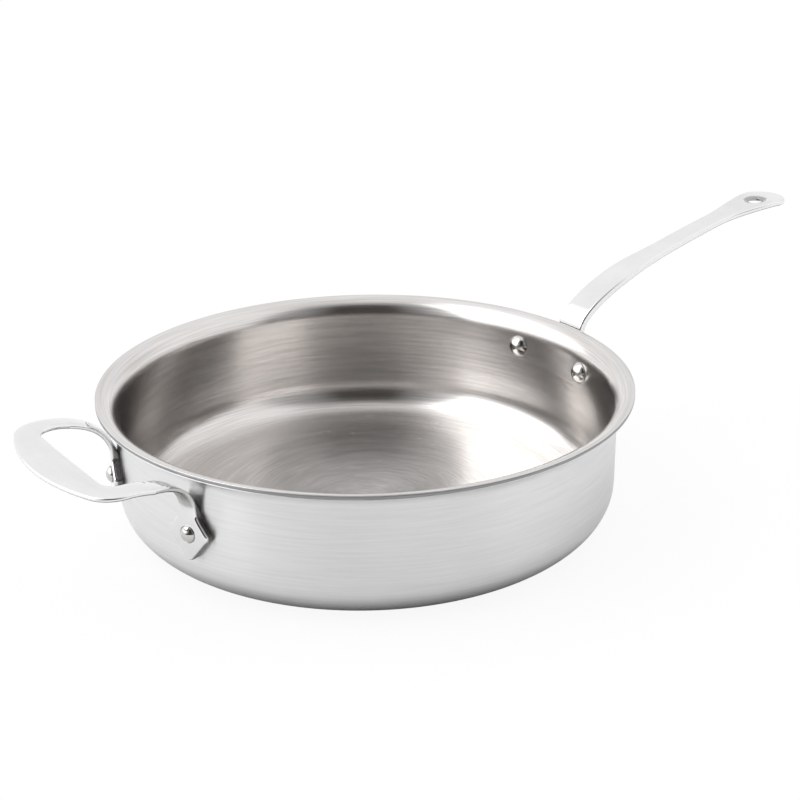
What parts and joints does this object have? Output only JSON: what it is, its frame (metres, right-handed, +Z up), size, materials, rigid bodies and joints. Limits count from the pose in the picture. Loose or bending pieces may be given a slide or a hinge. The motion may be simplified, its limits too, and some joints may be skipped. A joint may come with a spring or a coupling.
{
  "type": "saute pan",
  "caption": "Wide clad steel pan with a low straight wall, a flared pouring lip, a long raised handle and a helper loop handle, all riveted.",
  "frame": {"origin": "centre of the pan's flat base, on the surface that it stands on", "axes": "+Z up along the pan's axis; +X from the axis towards the tip of the long handle; the helper handle is on the -X side"},
  "size_m": [0.5379, 0.304, 0.1331],
  "materials": {
    "steel_outside": "satin, finely brushed round the wall",
    "aluminium_core": "plain, bonded between the steel sheets",
    "steel_inside": "brushed in circles",
    "cast_handle": "mirror polish",
    "rivet_steel": "polished"
  },
  "bodies": {
    "root": {"outer_steel_skin": "steel_outside", "aluminium_core": "aluminium_core", "inner_steel_lining": "steel_inside", "long_handle": "cast_handle", "long_handle_rivet_left": "rivet_steel", "long_handle_rivet_right": "rivet_steel", "helper_handle": "cast_handle", "helper_rivet_left": "rivet_steel", "helper_rivet_right": "rivet_steel"}
  },
  "joints": []
}
